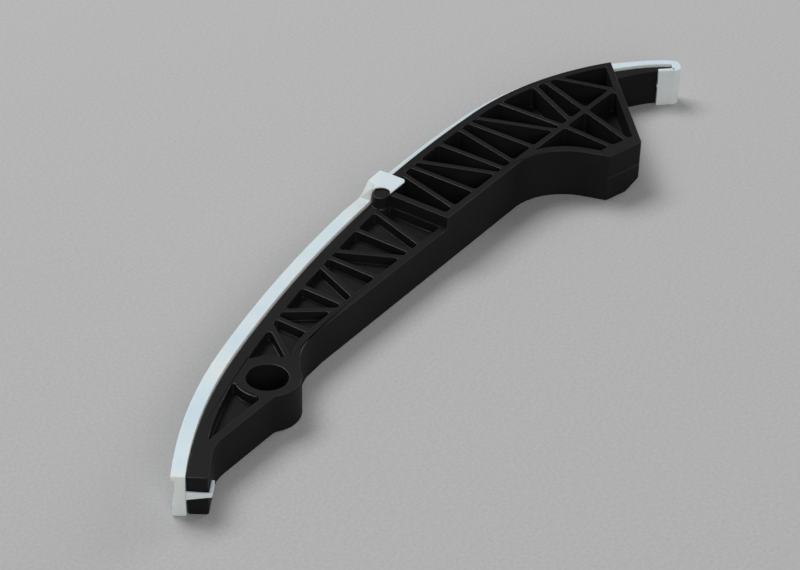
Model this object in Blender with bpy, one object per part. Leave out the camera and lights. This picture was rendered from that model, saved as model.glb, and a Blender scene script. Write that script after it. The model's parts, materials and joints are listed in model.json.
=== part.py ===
"""Timing chain guide: a black ribbed carrier with a pale sliding liner clipped to its bowed face.

Sizes are in millimetres, in plan from the centre of the pivot bore: X along the straight
rear face, Y toward the chain, Z up from the flat underside. The model itself is in metres.
"""
import math

import bmesh
import bpy
from mathutils import Vector

MM = 0.001
CHORD_ERROR = 0.03  # how far a facet may cut inside its arc
LEAST_FACET = 1.0  # shorter runs of the swept pieces are joined to the next
LEAST_TURN = 8.0  # corners that turn less aren't rounded
FILLET_STEPS = 4
SHARP_ANGLE = 30.0  # edges that turn more are shaded sharp
FIT_GAP = 0.3  # between the liner and the carrier

# Heights above the underside
LOW_HEIGHT = 13.5
HIGH_HEIGHT = 17.8
WEB_UNDERSIDE = 8.0
WEB_THICKNESS = 2.2
CUT_MARGIN = 5.0  # how far a cutter runs past what it cuts

# Seat: the bowed face that carries the liner, as tangent arcs from the near end
SEAT_START = (-50.5, -10.4)
SEAT_HEADING = 34.4
SEAT_RADII = (176.0, 528.0, 111.5, 45.0)
SEAT_TURNS = (15.4, -1.9, -40.5, -56.0)  # heading at the end of each arc

# Near tongue and pivot boss
NEAR_TONGUE_THICKNESS = 6.0
NEAR_FLAT_Y = -7.4
NEAR_BLEND_RADIUS = 12.0
BORE_DIAMETER = 13.0
BOSS_WALL = 3.5
BOSS_X = 0.6
BOSS_NEAR_BLEND = 3.0
BOSS_FAR_BLEND = 25.0

# Rear face, chain recess and tensioner pad
REAR_FACE_Y = 2.0
RECESS_X = 140.6
RECESS_RADIUS = 21.0
RECESS_HEADING = -72.0  # of its straight end
PAD_DROP = 22.7
PAD_HEADING = -15.0
PAD_DEPTH = 5.0
PAD_CORNER_RADIUS = 2.0
HEEL_BEVEL = (6.4, 3.6)  # under the pad's far corner: along both faces, up
EDGE_RADIUS = 0.6

# End wall and far tongue
END_WALL_HEADING = 41.8
END_WALL_THICKNESS = 2.5
FAR_TONGUE_LENGTH = 23.2
FAR_TONGUE_ROOT = 5.0
FAR_TONGUE_TIP = 2.4
ROOT_FILLET = 1.5

# Step up to the high part, and the post at its front corner
STEP_X = 98.5
STEP_WALL = 2.6
STEP_LEDGE = 0.5
POST_RADIUS = 2.75
POST_COVER = 0.45  # of the carrier between the post and the seat
POST_SETBACK = 1.3  # of its centre, in front of the step
POST_FOOT = 0.4

# Rims and truss ribs
LOW_FRONT_RIM = 3.8
LOW_REAR_RIM = 2.8
HIGH_FRONT_RIM = 2.8
HIGH_REAR_RIM = 2.5
RECESS_RIM = 3.0
RIB_WIDTH = 2.0
POCKET_RADIUS = 1.0
BOSS_POCKET_EASES = (3.0, 1.5)  # where a pocket's front and rear sides meet the boss
EASE_STEPS = 6
LOW_TRUSS_X = 26.0
LOW_TRUSS_PITCH = 18.2
LOW_BAYS = 4
HIGH_TRUSS_PITCH = 17.8
HIGH_BAYS = 4
FALLING_INSET = 4.2
RISING_INSET = 5.6
BOSS_RIB = (14.3, 21.5)  # x at the rear rim, x at the front rim
END_RIBS = ((176.7, 188.1), (185.9, 193.3), (202.8, 198.4))
CHORD_DROP = 1.9
PAD_RIB = (8.0, 6.1)  # beyond the pad's start: at the chord, at the pad

# Liner section, outward from the seat
LINER_BASE = 3.2
LINER_TOP = 14.5
LINER_TIP_BASE = 2.8
LIP_WIDTHS = ((0.0, 4.5), (25.0, 4.82), (42.0, 4.9), (145.0, 4.85),
              (157.0, 4.3), (283.0, 4.3), (293.0, 3.1))  # run, width
LEAST_LIP = 0.05  # a lip stands out at least this much
TOP_LIP = 1.5
TOP_LIP_FILLET = 0.5
BOTTOM_LIP = 3.9
BOTTOM_LIP_SHORT = 0.15  # stands out this much less than the top lip
BOTTOM_LIP_FILLET = 3.4
LINER_OVERHANG = 0.9

# Liner hooks and tab
NEAR_HOOK_THICKNESS = 0.95
NEAR_HOOK_LEG = 5.6
NEAR_HOOK_ROOT = (5.6, 8.9)  # lowest, highest
NEAR_HOOK_END = (7.0, 8.5)
NEAR_HOOK_COVER = 0.4  # of the liner on each side of the hook's root
NEAR_HOOK_SINK = 1.0
NEAR_HOOK_SETBACK = 0.05  # of its arm behind the liner's end face
FAR_HOOK_TIP = 3.1
FAR_HOOK_THICKNESS = 1.4
FAR_HOOK_LEG = 5.4
TAB_THICKNESS = 0.6
TAB_X = (-0.2, 9.9)  # its ends, beyond the step
TAB_REACH = 6.6
TAB_LIP = 4.1
TAB_SLANT = 0.3  # its inner edge is this much further in at the near end
TAB_ROOT = 1.2  # how far the plate runs into the ramped liner
TAB_DROP_RUN = 0.1  # the liner drops beside the tab's far end over twice this
NOTCH_END = 100.0  # angle round the post at which the notch reaches the ramp
RAMP_X = (-2.7, -0.9, 2.3)  # beyond the step: foot, top at the inner edge, top at the outer edge
TAB_CORNER = 1.5

CARRIER_COLOUR = (0.018, 0.018, 0.02, 1.0)
LINER_COLOUR = (0.78, 0.79, 0.76, 1.0)
CARRIER_ROUGHNESS = 0.5
LINER_ROUGHNESS = 0.4


def heading_vector(degrees):
    return Vector((math.cos(math.radians(degrees)), math.sin(math.radians(degrees))))


def left_of(degrees):
    return heading_vector(degrees + 90.0)


def arc_steps(radius, sweep):
    """Facets for an arc, so that none cuts inside it by more than the chord error."""
    widest = 2.0 * math.acos(1.0 - min(CHORD_ERROR / radius, 0.5))
    return max(2, math.ceil(math.radians(abs(sweep)) / widest))


def arc(centre, radius, start, end):
    """Points from one angle to another, both included."""
    steps = arc_steps(radius, end - start)
    turns = [start + (end - start) * i / steps for i in range(steps + 1)]
    return [Vector(centre) + heading_vector(turn) * radius for turn in turns]


def meet(point, heading, other, other_heading):
    """Where two lines cross."""
    normal = left_of(other_heading)
    run = (Vector(other) - Vector(point)).dot(normal) / heading_vector(heading).dot(normal)
    return Vector(point) + heading_vector(heading) * run


def crossing(measure, low, high):
    """Where a measure that changes sign once between two values is zero."""
    rises = measure(high) > measure(low)
    for _ in range(50):
        middle = (low + high) / 2.0
        if (measure(middle) > 0.0) == rises:
            high = middle
        else:
            low = middle
    return (low + high) / 2.0


def rounded(corners):
    """Outline from (point, radius) pairs: each corner becomes an arc that fits its sides."""
    outline = []
    for index, (corner, radius) in enumerate(corners):
        back = corners[index - 1][0] - corner
        ahead = corners[(index + 1) % len(corners)][0] - corner
        turn = math.pi - back.angle(ahead)
        if radius == 0.0 or turn < math.radians(LEAST_TURN):
            outline.append(corner)
            continue
        reach = min(radius * math.tan(turn / 2.0), 0.45 * back.length, 0.45 * ahead.length)
        fitted = reach / math.tan(turn / 2.0)
        start = corner + back.normalized() * reach
        bisector = (back.normalized() + ahead.normalized()).normalized()
        centre = corner + bisector * math.hypot(fitted, reach)
        spoke = start - centre
        sign = -1.0 if back.cross(ahead) > 0.0 else 1.0
        steps = arc_steps(fitted, math.degrees(turn))
        for step in range(steps + 1):
            angle = math.degrees(math.atan2(spoke.y, spoke.x) + sign * turn * step / steps)
            outline.append(centre + heading_vector(angle) * fitted)
    return outline


def clip(outline, point, normal):
    """The part of an outline on the side of a line that the normal points to."""
    kept = []
    for index, corner in enumerate(outline):
        before = outline[index - 1]
        here = (corner - point).dot(normal)
        there = (before - point).dot(normal)
        if here * there < 0.0:
            kept.append(before.lerp(corner, there / (there - here)))
        if here >= 0.0:
            kept.append(corner)
    return kept


def seat_at(distance):
    """Point and heading on the seat curve, at a distance along it from the near end."""
    point = Vector(SEAT_START)
    heading = SEAT_HEADING
    for index, (radius, last_heading) in enumerate(zip(SEAT_RADII, SEAT_TURNS)):
        length = radius * math.radians(heading - last_heading)
        run = distance if index == len(SEAT_RADII) - 1 else min(distance, length)
        centre = point - left_of(heading) * radius
        heading -= math.degrees(run / radius)
        point = centre + left_of(heading) * radius
        distance -= run
        if distance <= 0.0:
            break
    return point, heading


def seat_stops():
    """Distances along the seat curve where its facets meet, from end to end."""
    stops = [0.0]
    heading = SEAT_HEADING
    for radius, last_heading in zip(SEAT_RADII, SEAT_TURNS):
        length = radius * math.radians(heading - last_heading)
        steps = arc_steps(radius, heading - last_heading)
        start = stops[-1]
        stops += [start + length * (i + 1) / steps for i in range(steps)]
        heading = last_heading
    return stops


def seat_length():
    return seat_stops()[-1]


def beside_seat(distance, outward):
    point, heading = seat_at(distance)
    return point + left_of(heading) * outward


def seat_distance(x, outward=0.0):
    """Distance along the seat curve at which a curve beside it reaches an x."""
    return crossing(lambda run: beside_seat(run, outward).x - x, 0.0, seat_length())


def front_curve(outward, start, end):
    """Points beside the seat curve between two distances along it."""
    between = [stop for stop in seat_stops() if start < stop < end]
    return [beside_seat(run, outward) for run in [start] + between + [end]]


def boss_radius():
    return BORE_DIAMETER / 2.0 + BOSS_WALL


def far_blend_centre():
    """Centre of the large fillet between the pivot boss and the rear face."""
    below = BOSS_FAR_BLEND - REAR_FACE_Y
    reach = boss_radius() + BOSS_FAR_BLEND
    return Vector((BOSS_X + math.sqrt(reach ** 2 - below ** 2), -below))


def near_blend_centre():
    """Centre of the small fillet between the pivot boss and the near flat."""
    below = BOSS_NEAR_BLEND - NEAR_FLAT_Y
    reach = boss_radius() + BOSS_NEAR_BLEND
    return Vector((BOSS_X - math.sqrt(reach ** 2 - below ** 2), -below))


def recess_centre():
    return Vector((RECESS_X, REAR_FACE_Y - RECESS_RADIUS))


def recess_end():
    """Where the recess's arc runs into its straight end."""
    return recess_centre() + left_of(RECESS_HEADING) * RECESS_RADIUS


def pad_start():
    return meet(recess_end(), RECESS_HEADING, (RECESS_X, REAR_FACE_Y - PAD_DROP), 0.0)


def end_wall_top():
    return beside_seat(seat_length() - FAR_TONGUE_LENGTH, 0.0)


def pad_corner():
    return meet(pad_start(), PAD_HEADING, end_wall_top(), END_WALL_HEADING)


def near_heel():
    """Where the rear edge of the near tongue meets the near flat."""
    thick = NEAR_TONGUE_THICKNESS
    run = crossing(lambda along: beside_seat(along, -thick).y - NEAR_FLAT_Y, 0.0, seat_distance(0.0))
    return beside_seat(run, -thick)


def far_tongue_rear(distance):
    """Point on the tapered rear edge of the far tongue."""
    share = (seat_length() - distance) / FAR_TONGUE_LENGTH
    return beside_seat(distance, -(FAR_TONGUE_TIP + (FAR_TONGUE_ROOT - FAR_TONGUE_TIP) * share))


def far_tongue_root():
    """Distance along the seat at which the tongue's rear edge meets the end wall."""
    wall = end_wall_top()
    normal = left_of(END_WALL_HEADING)
    start = seat_length() - FAR_TONGUE_LENGTH
    return crossing(lambda run: (far_tongue_rear(run) - wall).dot(normal), start, seat_length())


def boss_side():
    """The rear side from the recess, round the pivot boss, to the near flat."""
    boss = Vector((BOSS_X, 0.0))
    far = far_blend_centre()
    near = near_blend_centre()
    far_angle = math.degrees(math.atan2(boss.y - far.y, boss.x - far.x))
    near_angle = math.degrees(math.atan2(boss.y - near.y, boss.x - near.x))
    points = arc(far, BOSS_FAR_BLEND, 90.0, far_angle)
    points += arc(boss, boss_radius(), far_angle - 180.0, near_angle - 180.0)[1:]
    points += arc(near, BOSS_NEAR_BLEND, near_angle, 90.0)[1:]
    return points


def carrier_outline():
    """Plan of the whole carrier: the seat curve out, the rear side back."""
    length = seat_length()
    root = far_tongue_root()
    tongue = [stop for stop in reversed(seat_stops()) if root + LEAST_FACET < stop < length]
    seat = front_curve(0.0, 0.0, length)
    corners = [(seat[0], EDGE_RADIUS)]
    corners += [(point, 0.0) for point in seat[1:-1]]
    corners += [(seat[-1], EDGE_RADIUS), (far_tongue_rear(length), EDGE_RADIUS)]
    corners += [(far_tongue_rear(stop), 0.0) for stop in tongue]
    corners += [(far_tongue_rear(root), ROOT_FILLET), (pad_corner(), PAD_CORNER_RADIUS)]
    corners += [(pad_start(), EDGE_RADIUS)]
    recess = arc(recess_centre(), RECESS_RADIUS, 90.0 + RECESS_HEADING, 90.0)
    corners += [(point, 0.0) for point in recess]
    corners += [(point, 0.0) for point in boss_side()]
    corners += [(near_heel(), NEAR_BLEND_RADIUS), (beside_seat(0.0, -NEAR_TONGUE_THICKNESS), EDGE_RADIUS)]
    return rounded(corners)


def low_region():
    """Plan inside the rims of the low part, from the near flat to the step."""
    rear = REAR_FACE_Y + LOW_REAR_RIM
    flat = NEAR_FLAT_Y + LOW_REAR_RIM
    far = far_blend_centre()
    boss_angle = math.degrees(math.atan2(-far.y, BOSS_X - far.x))
    start = crossing(lambda run: beside_seat(run, -LOW_FRONT_RIM).y - flat, 0.0, seat_distance(0.0))
    end = seat_distance(STEP_X - STEP_LEDGE, -LOW_FRONT_RIM)
    region = front_curve(-LOW_FRONT_RIM, start, end)
    region.append(Vector((STEP_X - STEP_LEDGE, rear)))
    region += arc(far, BOSS_FAR_BLEND + LOW_REAR_RIM, 90.0, boss_angle)
    region.append(Vector((BOSS_X, flat)))
    return region


def chord_y(x):
    """Upper edge of the chord rib, which carries the rear rim on to the end wall."""
    far_x = end_wall_top().x
    return REAR_FACE_Y + HIGH_REAR_RIM - CHORD_DROP * max(0.0, x - RECESS_X) / (far_x - RECESS_X)


def end_wall_inside():
    return end_wall_top() + left_of(END_WALL_HEADING) * END_WALL_THICKNESS


def high_region():
    """Plan inside the rims of the high part, in front of the chord rib."""
    wall = end_wall_inside()
    normal = left_of(END_WALL_HEADING)
    end = crossing(lambda run: (beside_seat(run, -HIGH_FRONT_RIM) - wall).dot(normal), 0.0, seat_length())
    left = STEP_X + STEP_WALL
    far_x = end_wall_top().x
    region = front_curve(-HIGH_FRONT_RIM, seat_distance(left, -HIGH_FRONT_RIM), end)
    region += [Vector((far_x, chord_y(far_x))), Vector((RECESS_X, chord_y(RECESS_X)))]
    region.append(Vector((left, chord_y(RECESS_X))))
    return clip(region, wall, normal)


def recess_region():
    """Plan between the chord rib, the recess wall, the pad and the end wall."""
    far_x = end_wall_top().x
    chord = RIB_WIDTH
    centre = recess_centre()
    radius = RECESS_RADIUS + RECESS_RIM
    reach = math.degrees(math.asin((chord_y(RECESS_X) - chord - centre.y) / radius))
    pad_normal = left_of(PAD_HEADING)
    region = arc(centre, radius, reach, 90.0 + RECESS_HEADING)
    region += [pad_start() + left_of(RECESS_HEADING) * RECESS_RIM, pad_corner(), end_wall_top()]
    region.append(Vector((far_x, chord_y(far_x) - chord)))
    region = clip(region, pad_start() + pad_normal * PAD_DEPTH, pad_normal)
    region = clip(region, end_wall_inside(), left_of(END_WALL_HEADING))
    slope = math.degrees(math.atan2(chord_y(far_x) - chord_y(RECESS_X), far_x - RECESS_X))
    return clip(region, Vector((RECESS_X, chord_y(RECESS_X) - chord)), -left_of(slope))


def truss(first_x, pitch, bays, rises):
    """Feet of the ribs as (rear x, front x): a straight rib at each bay's end, a diagonal in it."""
    feet = []
    for bay in range(bays):
        start = first_x + bay * pitch
        end = start + pitch
        if rises:
            feet.append((start + RISING_INSET, end - RISING_INSET))
        else:
            feet.append((end - FALLING_INSET, start + FALLING_INSET))
        feet.append((end, end))
        rises = not rises
    return feet


def ribs_from(feet, rear_y, front_rim):
    """Centre lines from the rear rim to the front rim."""
    lines = []
    for rear_x, front_x in feet:
        front = beside_seat(seat_distance(front_x, -front_rim), -front_rim)
        lines.append((Vector((rear_x, rear_y)), front))
    return lines


def cells(region, lines):
    """The spaces that ribs leave in a region, from the first rib's left to the last one's right."""
    spaces = []
    for index in range(len(lines) + 1):
        space = region
        if index > 0:
            space = clip(space, *rib_side(lines[index - 1], 1.0))
        if index < len(lines):
            space = clip(space, *rib_side(lines[index], -1.0))
        spaces.append(space)
    return spaces


def rib_side(line, side):
    """A point on one face of a rib, and the direction out of it."""
    foot, head = line
    across = (head - foot).normalized()
    normal = Vector((across.y, -across.x)) * side
    return foot + normal * RIB_WIDTH / 2.0, normal


def walk(outline, index, step, reach):
    """Point reached along an outline from one of its corners, and how many corners it passes."""
    here = outline[index]
    passed = 0
    while True:
        after = outline[(index + step * (passed + 1)) % len(outline)]
        length = (after - here).length
        if length > reach:
            return here.lerp(after, reach / length), passed
        reach -= length
        here = after
        passed += 1


def eased(outline, index, reach):
    """The outline with one sharp corner replaced by a curve that starts some way back on each side."""
    start, before = walk(outline, index, -1, reach)
    end, after = walk(outline, index, 1, reach)
    corner = outline[index]
    shares = [step / EASE_STEPS for step in range(EASE_STEPS + 1)]
    curve = [start.lerp(corner, share).lerp(corner.lerp(end, share), share) for share in shares]
    others = len(outline) - before - after - 1
    return curve + [outline[(index + after + 1 + i) % len(outline)] for i in range(others)]


def beside_boss(outline):
    """A pocket's outline less the pivot boss, which it runs into, with both corners eased."""
    boss = Vector((BOSS_X, 0.0))
    radius = boss_radius() + EDGE_RADIUS
    depths = [radius - (point - boss).length for point in outline]
    leaves = [i for i in range(len(outline)) if depths[i - 1] > 0.0 >= depths[i]][0]
    outline = outline[leaves:] + outline[:leaves]
    depths = depths[leaves:] + depths[:leaves]
    enters = [i for i in range(len(outline)) if depths[i] > 0.0][0]
    ends = []
    for inside, outside in ((outline[-1], outline[0]), (outline[enters], outline[enters - 1])):
        share = crossing(lambda part: (inside.lerp(outside, part) - boss).length - radius, 0.0, 1.0)
        ends.append(inside.lerp(outside, share))
    leave, enter = ends
    first = math.degrees(math.atan2(enter.y - boss.y, enter.x - boss.x))
    turn = math.degrees(math.atan2(leave.y - boss.y, leave.x - boss.x)) - first
    round_boss = arc(boss, radius, first, first + turn % 360.0)
    front, rear = BOSS_POCKET_EASES
    outline = eased(round_boss + outline[:enters], 0, front if enter.y > leave.y else rear)
    return eased(outline, outline.index(round_boss[-1]), rear if enter.y > leave.y else front)


def low_cells():
    boss = Vector((BOSS_X, 0.0))
    rear = REAR_FACE_Y + LOW_REAR_RIM
    feet = [BOSS_RIB, (LOW_TRUSS_X, LOW_TRUSS_X)]
    feet += truss(LOW_TRUSS_X, LOW_TRUSS_PITCH, LOW_BAYS, False)[:-1]
    lines = ribs_from(feet, rear, LOW_FRONT_RIM)
    region = low_region()
    near = clip(region, boss, Vector((-1.0, 0.0)))
    beside, *others = cells(clip(region, boss, Vector((1.0, 0.0))), lines)
    return [beside_boss(near), beside_boss(beside)] + others


def high_cells():
    first = STEP_X + STEP_WALL / 2.0
    feet = truss(first, HIGH_TRUSS_PITCH, HIGH_BAYS, True) + list(END_RIBS)
    return cells(high_region(), ribs_from(feet, REAR_FACE_Y + HIGH_REAR_RIM, HIGH_FRONT_RIM))


def recess_cells():
    """Spaces behind the recess and the pad; the long diagonal runs on from the high part."""
    pad = pad_start()
    at_chord, at_pad = PAD_RIB
    straight = (Vector((pad.x + at_pad, pad.y)), Vector((pad.x + at_chord, REAR_FACE_Y)))
    long_foot, long_head = ribs_from(END_RIBS[1:2], REAR_FACE_Y + HIGH_REAR_RIM, HIGH_FRONT_RIM)[0]
    return cells(recess_region(), [straight, (long_foot, long_head)])


def post_centre():
    x = STEP_X - POST_SETBACK
    return Vector((x, beside_seat(seat_distance(x), 0.0).y - POST_COVER - POST_RADIUS))


def tab_ends():
    """X of the tab plate's two ends."""
    near, far = TAB_X
    return STEP_X + near, STEP_X + far


def ramp_ends():
    """Distances along the seat of the ramp's foot, its inner top and its outer top."""
    return [seat_distance(STEP_X + beyond) for beyond in RAMP_X]


def add_prism(bm, outline, bottom, top):
    """Add an upright closed prism, sizes in millimetres."""
    base = [bm.verts.new((point.x * MM, point.y * MM, bottom * MM)) for point in outline]
    face = bm.faces.new(base)
    raised = bmesh.ops.extrude_face_region(bm, geom=[face])["geom"]
    moved = [item for item in raised if isinstance(item, bmesh.types.BMVert)]
    bmesh.ops.translate(bm, verts=moved, vec=(0.0, 0.0, (top - bottom) * MM))


def prisms(name, outlines, bottom, top):
    """One object made of upright prisms."""
    bm = bmesh.new()
    for outline in outlines:
        add_prism(bm, outline, bottom, top)
    return finished(name, bm)


def finished(name, bm):
    """Close off a bmesh as a linked object with outward faces, its round walls shaded smooth."""
    bmesh.ops.recalc_face_normals(bm, faces=bm.faces)
    mesh = bpy.data.meshes.new(name)
    bm.to_mesh(mesh)
    bm.free()
    mesh.shade_smooth()
    mesh.set_sharp_from_angle(angle=math.radians(SHARP_ANGLE))
    for face in mesh.polygons:
        face.use_smooth = abs(face.normal.z) < math.cos(math.radians(SHARP_ANGLE))
    made = bpy.data.objects.new(name, mesh)
    bpy.context.scene.collection.objects.link(made)
    return made


def combine(target, other, operation):
    """Join or cut with an exact Boolean, and keep the other object as a wire guide."""
    boolean = target.modifiers.new(other.name, "BOOLEAN")
    boolean.operation = operation
    boolean.solver = "EXACT"
    boolean.object = other
    other.hide_render = True
    other.display_type = "WIRE"


def step_cut_outline():
    """Plan of the space over the low part, which goes round the front of the post."""
    post = post_centre()
    half = math.degrees(math.acos((STEP_X - post.x) / POST_RADIUS))
    left = SEAT_START[0] - CUT_MARGIN
    top = beside_seat(seat_distance(STEP_X), 0.0).y + CUT_MARGIN
    bottom = pad_corner().y - CUT_MARGIN
    outline = [Vector((left, bottom)), Vector((STEP_X, bottom))]
    outline += arc(post, POST_RADIUS, -half, half - 360.0)
    return outline + [Vector((STEP_X, top)), Vector((left, top))]


def tongue_cut_outline():
    """Plan of the space over the far tongue, outside the end wall."""
    wall = end_wall_top()
    along = heading_vector(END_WALL_HEADING)
    away = -left_of(END_WALL_HEADING)
    start = pad_corner() - along * CUT_MARGIN
    end = wall + along * FAR_TONGUE_LENGTH
    outward = away * (FAR_TONGUE_LENGTH + CUT_MARGIN)
    return [start, end, end + outward, start + outward]


def heel_cutter():
    """Pyramid beyond the plane that bevels the bottom corner of the pad and the end wall."""
    corner = pad_corner().to_3d()
    along, up = HEEL_BEVEL
    ends = [corner - heading_vector(PAD_HEADING).to_3d() * along,
            corner + heading_vector(END_WALL_HEADING).to_3d() * along,
            corner + Vector((0.0, 0.0, up))]
    middle = (ends[0] + ends[1] + ends[2]) / 3.0
    normal = (ends[1] - ends[0]).cross(ends[2] - ends[0]).normalized()
    apex = corner + normal * ((corner - middle).dot(normal) + CUT_MARGIN)
    bm = bmesh.new()
    foot = [bm.verts.new((end + (end - middle).normalized() * 2.0 * CUT_MARGIN) * MM) for end in ends]
    tip = bm.verts.new(apex * MM)
    bm.faces.new(foot)
    for index in range(3):
        bm.faces.new((foot[index], foot[index - 1], tip))
    return finished("cut_heel", bm)


def make_carrier():
    carrier = prisms("carrier", [carrier_outline()], 0.0, HIGH_HEIGHT)
    over = HIGH_HEIGHT + CUT_MARGIN
    combine(carrier, prisms("cut_step", [step_cut_outline()], LOW_HEIGHT, over), "DIFFERENCE")
    combine(carrier, prisms("cut_tongue", [tongue_cut_outline()], LOW_HEIGHT, over), "DIFFERENCE")
    post = arc(post_centre(), POST_RADIUS + POST_FOOT, 0.0, 360.0)[:-1]
    keep = prisms("keep_post", [post], -over, over + CUT_MARGIN)
    spaces = low_cells() + high_cells() + recess_cells()
    outlines = [rounded([(point, POCKET_RADIUS) for point in space]) for space in spaces]
    for name, bottom, top in (("cut_upper_pockets", WEB_UNDERSIDE + WEB_THICKNESS, over),
                              ("cut_lower_pockets", -CUT_MARGIN, WEB_UNDERSIDE)):
        pockets = prisms(name, outlines, bottom, top)
        combine(pockets, keep, "DIFFERENCE")
        combine(carrier, pockets, "DIFFERENCE")
    combine(carrier, heel_cutter(), "DIFFERENCE")
    bore = arc((0.0, 0.0), BORE_DIAMETER / 2.0, 0.0, 360.0)[:-1]
    combine(carrier, prisms("cut_bore", [bore], -CUT_MARGIN, over), "DIFFERENCE")
    return carrier


def lip_width(distance):
    """How far the liner's lips stand out from the seat at a distance along it."""
    for (start, near), (end, far) in zip(LIP_WIDTHS, LIP_WIDTHS[1:]):
        if distance <= end:
            share = max(0.0, (distance - start) / (end - start))
            return near + (far - near) * share
    return LIP_WIDTHS[-1][1]


def channel_section(base, lip, top, inner_top):
    """Closed section of the liner as (outward, height) points."""
    inner = FIT_GAP
    low_lip = max(base + LEAST_LIP, lip - BOTTOM_LIP_SHORT)
    section = [(inner, 0.0), (low_lip, 0.0)]
    for step in range(FILLET_STEPS + 1):
        turn = math.radians(90.0) * step / FILLET_STEPS
        outward = low_lip + (base - low_lip) * math.sin(turn)
        section.append((outward, BOTTOM_LIP + BOTTOM_LIP_FILLET * (1.0 - math.cos(turn))))
    under = top - TOP_LIP
    for step in range(FILLET_STEPS + 1):
        turn = math.radians(90.0) * step / FILLET_STEPS
        outward = base + (lip - base) * (1.0 - math.cos(turn))
        section.append((outward, under - TOP_LIP_FILLET * (1.0 - math.sin(turn))))
    return section + [(lip, top), (inner, inner_top)]


def tab_top():
    return HIGH_HEIGHT + FIT_GAP + TAB_THICKNESS


def climb(run, foot, end, tab_end):
    """Height of the liner's top where it ramps up to the tab and drops back beyond it."""
    if run > tab_end:
        return LINER_TOP
    share = min(1.0, max(0.0, (run - foot) / (end - foot)))
    return LINER_TOP + (tab_top() - LINER_TOP) * share


def liner_stations():
    """(foot point, outward direction, section sizes) along the seat and round the far tongue."""
    length = seat_length()
    base = FIT_GAP + LINER_BASE
    foot, inner_end, outer_end = ramp_ends()
    tab_end = seat_distance(tab_ends()[1])
    extra = [foot, inner_end, outer_end, tab_end - TAB_DROP_RUN, tab_end + TAB_DROP_RUN]
    stops = [-LINER_OVERHANG] + [stop for stop in seat_stops() if stop > LEAST_FACET]
    stops = [stop for stop in stops if not any(abs(stop - point) < LEAST_FACET for point in extra)]
    stations = []
    for run in sorted(stops + extra):
        point, heading = seat_at(run)
        top, inner_top = (climb(run, foot, end, tab_end) for end in (outer_end, inner_end))
        share = max(0.0, 1.0 - (length - run) / FAR_TONGUE_LENGTH)
        here = base + (FIT_GAP + LINER_TIP_BASE - base) * share
        lip = max(here + LEAST_LIP, TAB_LIP if top > LINER_TOP else lip_width(run))
        stations.append((point, left_of(heading), (here, lip, top, inner_top)))
    return stations + far_hook_stations()


def far_hook_stations():
    """The liner's wrap round the tip of the far tongue and back along its rear edge."""
    length = seat_length()
    tip, heading = seat_at(length)
    back = far_tongue_rear(length)
    leg_end = far_tongue_rear(length - FAR_HOOK_LEG)
    leg_heading = math.degrees(math.atan2(leg_end.y - back.y, leg_end.x - back.x))
    turns = []
    side = heading + 90.0
    rear = leg_heading + 90.0 - 360.0 if leg_heading > 90.0 else leg_heading + 90.0
    for step in range(1, FILLET_STEPS + 1):
        share = step / FILLET_STEPS
        turns.append((tip, side + (heading - side) * share,
                      LINER_TIP_BASE + (FAR_HOOK_TIP - LINER_TIP_BASE) * share))
    for step in range(FILLET_STEPS + 1):
        share = step / FILLET_STEPS
        turns.append((back, heading + (rear - heading) * share,
                      FAR_HOOK_TIP + (FAR_HOOK_THICKNESS - FAR_HOOK_TIP) * share))
    turns.append((leg_end, rear, FAR_HOOK_THICKNESS))
    stations = []
    for point, angle, thick in turns:
        base = FIT_GAP + thick
        stations.append((point, heading_vector(angle), (base, base + LEAST_LIP, LINER_TOP, LINER_TOP)))
    return stations


def sweep(name, stations):
    """A closed body through the liner's section at each station."""
    bm = bmesh.new()
    loops = []
    for point, outward, sizes in stations:
        loop = []
        for away, height in channel_section(*sizes):
            place = point + outward * away
            loop.append(bm.verts.new((place.x * MM, place.y * MM, height * MM)))
        loops.append(loop)
    for first, second in zip(loops, loops[1:]):
        for index in range(len(first)):
            after = (index + 1) % len(first)
            bm.faces.new((first[index], first[after], second[after], second[index]))
    bm.faces.new(loops[0])
    bm.faces.new(loops[-1])
    return finished(name, bm)


def strip(name, stations):
    """A closed body through upright rectangles, each (inner point, outer point, bottom, top)."""
    bm = bmesh.new()
    loops = []
    for inner, outer, bottom, top in stations:
        corners = ((inner, bottom), (outer, bottom), (outer, top), (inner, top))
        loops.append([bm.verts.new((p.x * MM, p.y * MM, z * MM)) for p, z in corners])
    for first, second in zip(loops, loops[1:]):
        for index in range(4):
            after = (index + 1) % 4
            bm.faces.new((first[index], first[after], second[after], second[index]))
    bm.faces.new(loops[0])
    bm.faces.new(loops[-1])
    return finished(name, bm)


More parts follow.
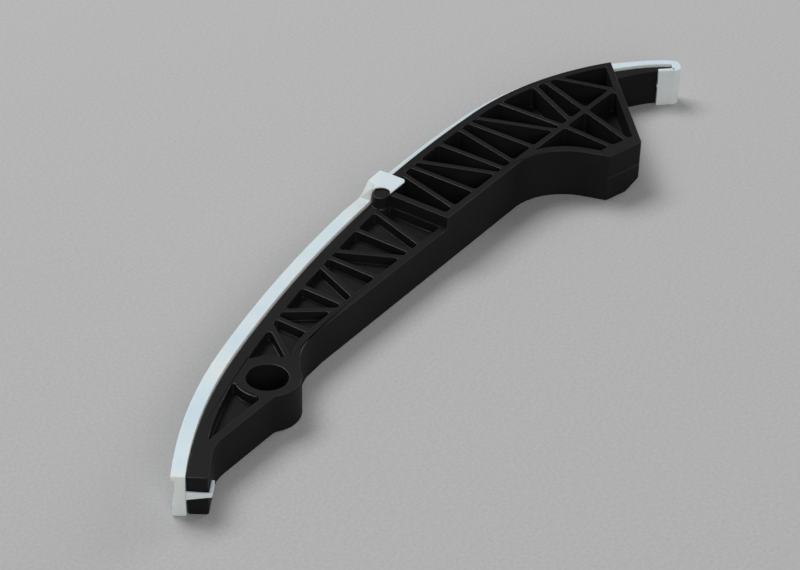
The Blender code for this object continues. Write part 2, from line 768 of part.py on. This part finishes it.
def near_hook():
    """Arm across the near tongue's end face, and its short leg along the rear edge."""
    start, heading = seat_at(0.0)
    along = heading_vector(heading)
    out = left_of(heading)
    corner = beside_seat(0.0, -NEAR_TONGUE_THICKNESS)
    leg = (near_heel() - corner).normalized()
    rear = Vector((leg.y, -leg.x))
    arm = LINER_OVERHANG - NEAR_HOOK_SETBACK - FIT_GAP
    near_gap = -along * FIT_GAP
    low, high = NEAR_HOOK_ROOT
    end_low, end_high = NEAR_HOOK_END
    root_in = start + out * (FIT_GAP + NEAR_HOOK_COVER)
    root_out = start + out * (FIT_GAP + LINER_BASE - NEAR_HOOK_COVER)
    knuckle = corner + near_gap + rear * FIT_GAP
    stations = [(root_in + along * NEAR_HOOK_SINK, root_out + along * NEAR_HOOK_SINK, low, high),
                (root_in + near_gap, root_out + near_gap - along * arm, low, high)]
    first = math.degrees(math.atan2(-along.y, -along.x))
    last = math.degrees(math.atan2(rear.y, rear.x))
    turn = (last - first) % 360.0
    for step in range(FILLET_STEPS + 1):
        share = step / FILLET_STEPS
        thick = arm + (NEAR_HOOK_THICKNESS - arm) * share
        stations.append((knuckle, knuckle + heading_vector(first + turn * share) * thick, end_low, end_high))
    end = knuckle + leg * NEAR_HOOK_LEG
    stations.append((end, end + rear * NEAR_HOOK_THICKNESS, end_low, end_high))
    return strip("join_near_hook", stations)


def tab_plate():
    """Plate of the liner that lies on the high rim and clears the post."""
    left, right = tab_ends()
    root = FIT_GAP + TAB_ROOT
    post = post_centre()
    clear = POST_RADIUS + FIT_GAP
    inner_end, outer_end = ramp_ends()[1:]
    front = [beside_seat(inner_end, FIT_GAP + LEAST_LIP)]
    front += front_curve(root, outer_end, seat_distance(right - TAB_DROP_RUN))
    inner_y = beside_seat(seat_distance(right), -TAB_REACH).y
    notch_start = math.degrees(math.acos((left - post.x) / clear))
    outline = [(point, 0.0) for point in front]
    outline.append((Vector((right - TAB_DROP_RUN, inner_y)), TAB_CORNER))
    outline.append((Vector((left, inner_y - TAB_SLANT)), EDGE_RADIUS))
    outline += [(point, 0.0) for point in arc(post, clear, -notch_start, NOTCH_END)]
    return prisms("join_tab", [rounded(outline)], HIGH_HEIGHT + FIT_GAP, tab_top())


def make_liner():
    liner = sweep("liner", liner_stations())
    combine(liner, near_hook(), "UNION")
    combine(liner, tab_plate(), "UNION")
    return liner


def paint(target, colour, roughness):
    """Give an object its own plastic."""
    material = bpy.data.materials.new(target.name + "_plastic")
    material.use_nodes = True
    shader = material.node_tree.nodes["Principled BSDF"]
    shader.inputs["Base Color"].default_value = colour
    shader.inputs["Roughness"].default_value = roughness
    shader.inputs["Metallic"].default_value = 0.0
    target.data.materials.append(material)


def box_centre(targets):
    """Middle in plan of the finished objects' common box."""
    graph = bpy.context.evaluated_depsgraph_get()
    corners = []
    for target in targets:
        corners += [Vector(corner) for corner in target.evaluated_get(graph).bound_box]
    low = [min(corner[axis] for corner in corners) for axis in range(2)]
    high = [max(corner[axis] for corner in corners) for axis in range(2)]
    return Vector(((low[0] + high[0]) / 2.0, (low[1] + high[1]) / 2.0, 0.0))


def main():
    for existing in list(bpy.data.objects):
        bpy.data.objects.remove(existing)
    carrier = make_carrier()
    liner = make_liner()
    paint(carrier, CARRIER_COLOUR, CARRIER_ROUGHNESS)
    paint(liner, LINER_COLOUR, LINER_ROUGHNESS)
    pivot = bpy.data.objects.new("pivot_centre", None)
    bpy.context.scene.collection.objects.link(pivot)
    pivot.location = -box_centre((carrier, liner))
    for made in list(bpy.data.objects):
        if made is not pivot:
            made.parent = pivot


main()
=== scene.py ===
import json
import math

import bmesh
import bpy
from mathutils import Matrix, Vector
from mathutils.bvhtree import BVHTree


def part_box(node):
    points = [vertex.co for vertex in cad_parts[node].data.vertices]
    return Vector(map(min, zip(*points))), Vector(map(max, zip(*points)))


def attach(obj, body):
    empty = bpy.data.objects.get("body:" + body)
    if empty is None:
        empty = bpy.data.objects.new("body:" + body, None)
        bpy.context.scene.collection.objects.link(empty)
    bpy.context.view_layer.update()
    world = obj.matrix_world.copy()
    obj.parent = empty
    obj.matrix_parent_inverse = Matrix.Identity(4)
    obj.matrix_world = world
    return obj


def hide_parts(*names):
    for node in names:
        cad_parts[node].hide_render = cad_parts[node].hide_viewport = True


MM = 0.001
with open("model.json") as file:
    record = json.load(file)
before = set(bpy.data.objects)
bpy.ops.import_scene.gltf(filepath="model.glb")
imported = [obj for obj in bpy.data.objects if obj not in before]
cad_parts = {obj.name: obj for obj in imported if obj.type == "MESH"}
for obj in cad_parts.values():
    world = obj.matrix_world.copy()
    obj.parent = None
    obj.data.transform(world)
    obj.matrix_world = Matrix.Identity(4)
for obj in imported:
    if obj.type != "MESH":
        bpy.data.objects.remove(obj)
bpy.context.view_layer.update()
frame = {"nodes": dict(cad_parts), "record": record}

# The middle of the pivot bore, from the frame's own record.
BORE_LOW, BORE_HIGH = frame["record"]["physics"]["openings"][0]["box_m"]
PIVOT = Vector(((BORE_LOW[0] + BORE_HIGH[0]) / 2, (BORE_LOW[1] + BORE_HIGH[1]) / 2, 0.0))

# The camera, solved from the photo's upright edges, its level tops and the bore. Its place is
# measured from the pivot.
CAMERA_PLACE = Vector((-435.1, -344.5, 433.1)) * MM
CAMERA_RIGHT = Vector((0.5643, -0.8255, 0.0))
CAMERA_FORWARD = Vector((0.6777, 0.4633, -0.5709))
CAMERA_ROLL = math.radians(1.36)
CAMERA_CLIP = 10.0 * MM
FOCAL_PIXELS = 2330.0
PICTURE_WIDTH = 800.0
SENSOR_WIDTH = 36.0

# The rounding of every edge that turns by more than EDGE_ANGLE.
CARRIER_EDGE = 0.24 * MM
LINER_EDGE = 0.2 * MM
EDGE_ANGLE = math.radians(33.0)
EDGE_SEGMENTS = 2

# Corners nearer than SAME_CORNER are one corner, and levels nearer than that are one level.
SAME_CORNER = 1e-6
CUT_TOLERANCE = 1e-7

# The parting line on the walls of the tensioner pad: its height, half its width, its depth and
# where it starts and stops along x. Those walls are taller than OUTER_WALL.
PARTING_LEVEL = 8.9 * MM
PARTING_WIDTH = 0.25 * MM
PARTING_DEPTH = 0.13 * MM
PARTING_FROM = 69.5 * MM
PARTING_TO = 86.5 * MM
PARTING_MARGIN = 2.0 * MM
OUTER_WALL = 13.0 * MM
UPRIGHT_SLOPE = 0.1
REAR_FACING = -0.25

# The nib of flash on the far hook's free end: its height, half its width and how far it sticks out.
BURR_LEVEL = 8.1 * MM
BURR_WIDTH = 0.8 * MM
BURR_REACH = 0.4 * MM
BURR_FROM = 136.0 * MM
BURR_FACING = 0.6

# Colour stops are pairs of noise value and linear colour, and a range is a lowest and a highest.
NOISE_RANGE = (0.3, 0.7)
BLACK_FACE = (
    (0.32, (0.0082, 0.0082, 0.0088)),
    (0.55, (0.0098, 0.0097, 0.0102)),
    (0.72, (0.0125, 0.0118, 0.0130)),
)
# The carrier's rounded edges are painted lighter than its faces: a painted highlight along every
# edge.
BLACK_EDGE_PAINTED_HIGHLIGHT = (
    (0.35, (0.0100, 0.0100, 0.0106)),
    (0.65, (0.0140, 0.0136, 0.0146)),
)
NYLON_LEVEL = (
    (0.30, (0.535, 0.650, 0.710)),
    (0.52, (0.575, 0.670, 0.715)),
    (0.72, (0.635, 0.685, 0.680)),
)
# Upright faces are painted lighter and warmer than level ones: painted light.
NYLON_UPRIGHT_PAINTED_LIGHT = (
    (0.30, (0.640, 0.700, 0.700)),
    (0.52, (0.680, 0.710, 0.690)),
    (0.72, (0.710, 0.710, 0.655)),
)
FLOOR_PAPER = (
    (0.34, (0.385, 0.385, 0.39)),
    (0.66, (0.43, 0.428, 0.43)),
)
BLACK_FACE_ROUGHNESS = (0.50, 0.60)
BLACK_EDGE_ROUGHNESS = (0.28, 0.36)
NYLON_ROUGHNESS = (0.30, 0.42)
FLOOR_ROUGHNESS = (0.85, 0.95)
BLACK_FACE_GLOSS = 0.07
BLACK_EDGE_GLOSS = 0.22
NYLON_GLOSS = 0.45
FLOOR_GLOSS = 0.2
NYLON_DEPTH = 1.5 * MM
NYLON_DEPTH_SHARE = 0.5
NYLON_DEPTH_COLOURS = (1.0, 0.75, 0.55)

# Each lamp's name, place, two sides in metres and power in watts. All of them aim at the origin.
LAMPS = (
    ("key", (0.2, 1.0, 1.55), (1.1, 0.9), 26.0),
    ("fill", (-1.1, -1.1, 0.8), (1.0, 0.8), 13.0),
    ("right", (1.5, -0.35, 0.6), (0.8, 0.6), 8.0),
)
WORLD_COLOUR = (0.93, 0.93, 0.94, 1.0)
WORLD_STRENGTH = 0.23
FLOOR_SIZE = 6.0


def merged(node):
    """A frame node's mesh with the corners that its facets share made one."""
    work = bmesh.new()
    work.from_mesh(frame["nodes"][node].data)
    bmesh.ops.remove_doubles(work, verts=work.verts[:], dist=SAME_CORNER)
    bmesh.ops.recalc_face_normals(work, faces=work.faces[:])
    return work


def cut_levels(work, faces, middle, half_width):
    """Splits the faces along a level and along one on each side of it."""
    edges = {edge for face in faces for edge in face.edges}
    corners = {corner for face in faces for corner in face.verts}
    cut = list(faces) + list(edges) + list(corners)
    for level in (middle - half_width, middle, middle + half_width):
        cut = bmesh.ops.bisect_plane(
            work, geom=cut, dist=CUT_TOLERANCE, plane_co=(0.0, 0.0, level), plane_no=(0.0, 0.0, 1.0),
        )["geom"]
    work.normal_update()


def parting_line(work):
    """A shallow line on the tensioner pad's walls, where the mould's halves met."""
    walls = []
    for face in work.faces:
        heights = [corner.co.z for corner in face.verts]
        tall = max(heights) - min(heights) > OUTER_WALL
        rear = abs(face.normal.z) < UPRIGHT_SLOPE and face.normal.y < REAR_FACING
        if tall and rear and face.calc_center_median().x > PARTING_FROM - PARTING_MARGIN:
            walls.append(face)
    cut_levels(work, walls, PARTING_LEVEL, PARTING_WIDTH)
    moves = []
    for corner in work.verts:
        on_line = abs(corner.co.z - PARTING_LEVEL) < SAME_CORNER
        if on_line and PARTING_FROM < corner.co.x < PARTING_TO:
            out = sum((face.normal for face in corner.link_faces), Vector())
            moves.append((corner, out.normalized() * -PARTING_DEPTH))
    for corner, move in moves:
        corner.co += move


def burr(work):
    """A nib of flash on the free end of the liner's far hook."""
    ends = []
    for face in work.faces:
        inward = face.normal.x < -BURR_FACING and face.normal.y > BURR_FACING
        if inward and face.calc_center_median().x > BURR_FROM:
            ends.append(face)
    cut_levels(work, ends, BURR_LEVEL, BURR_WIDTH)
    out = ends[0].normal.copy()
    for corner in work.verts:
        on_line = abs(corner.co.z - BURR_LEVEL) < SAME_CORNER
        if on_line and corner.co.x > BURR_FROM and corner.co.y < 0.0:
            corner.co += out * BURR_REACH


def soft_copy(node, width, detail):
    """A copy of a frame node with a fine detail added and its edges rounded.

    No point strays from the CAD's surface by more than the rounding, or out of the node's box.
    """
    work = merged(node)
    detail(work)
    surface = BVHTree.FromBMesh(work)
    mesh = bpy.data.meshes.new(node + "_looks")
    work.to_mesh(mesh)
    work.free()
    piece = bpy.data.objects.new(node + "_looks", mesh)
    bpy.context.scene.collection.objects.link(piece)
    mesh.materials.append(None)
    mesh.materials.append(None)
    bevel = piece.modifiers.new("round_edges", "BEVEL")
    bevel.width = width
    bevel.segments = EDGE_SEGMENTS
    bevel.limit_method = "ANGLE"
    bevel.angle_limit = EDGE_ANGLE
    bevel.use_clamp_overlap = False
    # The rounded edges take the second material; the carrier's is painted lighter, as a painted edge
    # highlight.
    bevel.material = 1
    bevel.face_strength_mode = "FSTR_AFFECTED"
    evaluated = piece.evaluated_get(bpy.context.evaluated_depsgraph_get())
    rounded = bpy.data.meshes.new_from_object(evaluated)
    piece.modifiers.remove(bevel)
    rounded.name = node + "_rounded"
    piece.data = rounded
    bpy.data.meshes.remove(mesh)
    lowest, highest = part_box(node)
    for corner in rounded.vertices:
        nearest, _, _, away = surface.find_nearest(corner.co)
        if away > width:
            corner.co = nearest
        corner.co = [min(max(at, low), high) for at, low, high in zip(corner.co, lowest, highest)]
    rounded.shade_smooth()
    rounded.set_sharp_from_angle(angle=EDGE_ANGLE)
    even = piece.modifiers.new("flat_faces_stay_flat", "WEIGHTED_NORMAL")
    even.keep_sharp = True
    even.use_face_influence = True
    return piece


def material(name):
    """A new material, with its nodes, its links and its main shader."""
    made = bpy.data.materials.new(name)
    made.use_nodes = True
    return made, made.node_tree.nodes, made.node_tree.links, made.node_tree.nodes["Principled BSDF"]


def noise(nodes, links, scale, detail, roughness=0.5):
    """Noise in the object's own coordinates."""
    place = nodes.new("ShaderNodeTexCoord")
    texture = nodes.new("ShaderNodeTexNoise")
    texture.inputs["Scale"].default_value = scale
    texture.inputs["Detail"].default_value = detail
    texture.inputs["Roughness"].default_value = roughness
    links.new(place.outputs["Object"], texture.inputs["Vector"])
    return texture.outputs["Fac"]


def ramp(nodes, links, value, stops):
    """A colour ramp over a value."""
    band = nodes.new("ShaderNodeValToRGB")
    while len(band.color_ramp.elements) < len(stops):
        band.color_ramp.elements.new(0.5)
    for element, (position, colour) in zip(band.color_ramp.elements, stops):
        element.position = position
        element.color = (*colour, 1.0)
    links.new(value, band.inputs["Fac"])
    return band.outputs["Color"]


def spread(nodes, links, value, lowest, highest):
    """A noise value stretched to a range."""
    reach = nodes.new("ShaderNodeMapRange")
    reach.inputs["From Min"].default_value = NOISE_RANGE[0]
    reach.inputs["From Max"].default_value = NOISE_RANGE[1]
    reach.inputs["To Min"].default_value = lowest
    reach.inputs["To Max"].default_value = highest
    links.new(value, reach.inputs["Value"])
    return reach.outputs["Result"]


def bump(nodes, links, value, distance, strength, below=None):
    """A bump from a value, laid over another bump if one is given."""
    rise = nodes.new("ShaderNodeBump")
    rise.inputs["Strength"].default_value = strength
    rise.inputs["Distance"].default_value = distance
    links.new(value, rise.inputs["Height"])
    if below is not None:
        links.new(below, rise.inputs["Normal"])
    return rise.outputs["Normal"]


def carrier_material(name, stops, roughness, gloss):
    """Black glass-filled nylon, with broad waves and a fine grain."""
    made, nodes, links, shader = material(name)
    clouds = noise(nodes, links, scale=55.0, detail=4.0)
    grain = noise(nodes, links, scale=2600.0, detail=2.0)
    links.new(ramp(nodes, links, clouds, stops), shader.inputs["Base Color"])
    links.new(spread(nodes, links, clouds, *roughness), shader.inputs["Roughness"])
    shader.inputs["Specular IOR Level"].default_value = gloss
    waves = noise(nodes, links, scale=240.0, detail=3.0)
    wide = bump(nodes, links, waves, distance=0.12 * MM, strength=0.25)
    fine = bump(nodes, links, grain, distance=0.02 * MM, strength=0.35, below=wide)
    links.new(fine, shader.inputs["Normal"])
    return made


def liner_material():
    """Natural nylon, slightly see-through, with painted light by facing: upright faces are painted
    lighter and warmer than the bluer level faces.
    """
    made, nodes, links, shader = material("natural_nylon")
    clouds = noise(nodes, links, scale=38.0, detail=3.0)
    level = ramp(nodes, links, clouds, NYLON_LEVEL)
    upright = ramp(nodes, links, clouds, NYLON_UPRIGHT_PAINTED_LIGHT)
    place = nodes.new("ShaderNodeTexCoord")
    facing = nodes.new("ShaderNodeSeparateXYZ")
    links.new(place.outputs["Normal"], facing.inputs["Vector"])
    steep = nodes.new("ShaderNodeMath")
    steep.operation = "ABSOLUTE"
    links.new(facing.outputs["Z"], steep.inputs[0])
    # Painted light: the colour is mixed by how level a face is, lighter and warmer on upright faces.
    painted_light_by_facing = nodes.new("ShaderNodeMix")
    painted_light_by_facing.data_type = "RGBA"
    links.new(steep.outputs["Value"], painted_light_by_facing.inputs["Factor"])
    links.new(upright, painted_light_by_facing.inputs["A"])
    links.new(level, painted_light_by_facing.inputs["B"])
    links.new(painted_light_by_facing.outputs["Result"], shader.inputs["Base Color"])
    links.new(spread(nodes, links, clouds, *NYLON_ROUGHNESS), shader.inputs["Roughness"])
    shader.inputs["Subsurface Weight"].default_value = NYLON_DEPTH_SHARE
    shader.inputs["Subsurface Radius"].default_value = NYLON_DEPTH_COLOURS
    shader.inputs["Subsurface Scale"].default_value = NYLON_DEPTH
    shader.inputs["Specular IOR Level"].default_value = NYLON_GLOSS
    waves = noise(nodes, links, scale=180.0, detail=3.0)
    links.new(bump(nodes, links, waves, distance=0.15 * MM, strength=0.2), shader.inputs["Normal"])
    return made


def floor_material():
    """Plain pale paper with a fine grain."""
    made, nodes, links, shader = material("floor_paper")
    clouds = noise(nodes, links, scale=9.0, detail=3.0)
    grain = noise(nodes, links, scale=900.0, detail=3.0, roughness=0.65)
    links.new(ramp(nodes, links, grain, FLOOR_PAPER), shader.inputs["Base Color"])
    links.new(spread(nodes, links, clouds, *FLOOR_ROUGHNESS), shader.inputs["Roughness"])
    shader.inputs["Specular IOR Level"].default_value = FLOOR_GLOSS
    links.new(bump(nodes, links, grain, distance=0.1 * MM, strength=0.3), shader.inputs["Normal"])
    return made


def lamp(name, place, sides, power):
    """A soft rectangular lamp that aims at the origin."""
    data = bpy.data.lights.new(name, "AREA")
    data.shape = "RECTANGLE"
    data.size, data.size_y = sides
    data.energy = power
    made = bpy.data.objects.new(name, data)
    bpy.context.scene.collection.objects.link(made)
    made.location = place
    made.rotation_euler = (-Vector(place)).to_track_quat("-Z", "Y").to_euler()


carrier = soft_copy("carrier", CARRIER_EDGE, parting_line)
liner = soft_copy("liner", LINER_EDGE, burr)
carrier.data.materials[0] = carrier_material(
    "black_plastic", BLACK_FACE, BLACK_FACE_ROUGHNESS, BLACK_FACE_GLOSS,
)
# The carrier's rounded edges take this lighter, glossier copy: its lighter colour is a painted edge
# highlight.
carrier.data.materials[1] = carrier_material(
    "black_plastic_edge_painted_highlight", BLACK_EDGE_PAINTED_HIGHLIGHT, BLACK_EDGE_ROUGHNESS, BLACK_EDGE_GLOSS,
)
nylon = liner_material()
liner.data.materials[0] = nylon
liner.data.materials[1] = nylon
for piece, node, finish in ((carrier, "carrier", "black_plastic"), (liner, "liner", "natural_nylon")):
    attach(piece, "root")
    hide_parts(node)

floor_mesh = bpy.data.meshes.new("floor")
floor_work = bmesh.new()
bmesh.ops.create_grid(floor_work, x_segments=1, y_segments=1, size=FLOOR_SIZE)
floor_work.to_mesh(floor_mesh)
floor_work.free()
floor = bpy.data.objects.new("floor", floor_mesh)
bpy.context.scene.collection.objects.link(floor)
floor.data.materials.append(floor_material())

for name, place, sides, power in LAMPS:
    lamp(name, place, sides, power)

world = bpy.data.worlds.new("studio")
bpy.context.scene.world = world
world.use_nodes = True
background = world.node_tree.nodes["Background"]
background.inputs["Color"].default_value = WORLD_COLOUR
background.inputs["Strength"].default_value = WORLD_STRENGTH

up = CAMERA_RIGHT.cross(CAMERA_FORWARD)
right = CAMERA_RIGHT * math.cos(CAMERA_ROLL) + up * math.sin(CAMERA_ROLL)
upward = up * math.cos(CAMERA_ROLL) - CAMERA_RIGHT * math.sin(CAMERA_ROLL)
turn = Matrix((right, upward, -CAMERA_FORWARD)).transposed()
camera_data = bpy.data.cameras.new("camera")
camera_data.sensor_width = SENSOR_WIDTH
camera_data.lens = FOCAL_PIXELS / PICTURE_WIDTH * SENSOR_WIDTH
camera_data.clip_start = CAMERA_CLIP
camera = bpy.data.objects.new("camera", camera_data)
bpy.context.scene.collection.objects.link(camera)
camera.matrix_world = Matrix.Translation(PIVOT + CAMERA_PLACE) @ turn.to_4x4()
bpy.context.scene.camera = camera

bpy.context.scene.view_settings.view_transform = "Standard"
